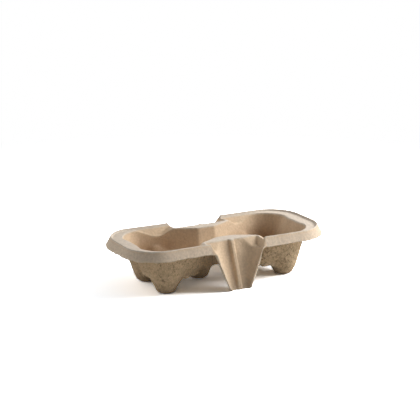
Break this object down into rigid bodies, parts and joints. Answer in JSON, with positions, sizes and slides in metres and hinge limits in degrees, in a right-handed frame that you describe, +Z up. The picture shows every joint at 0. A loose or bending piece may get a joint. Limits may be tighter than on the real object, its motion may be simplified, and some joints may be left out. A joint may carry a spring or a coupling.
{
  "type": "moulded fibre two-cup carrier tray",
  "caption": "Moulded-fibre carrier tray with cup pockets on rounded feet, a channel between them, a skirted rim and ribbed gutter legs.",
  "frame": {"origin": "on the floor under the middle of the tray", "axes": "+Z up, the cups side by side along X, the gutter legs at the middle of the two long sides facing +Y and -Y"},
  "size_m": [0.2226, 0.1052, 0.0491],
  "materials": {
    "fibre": "matte"
  },
  "bodies": {
    "root": {"carrier_tray": "fibre"}
  },
  "joints": []
}
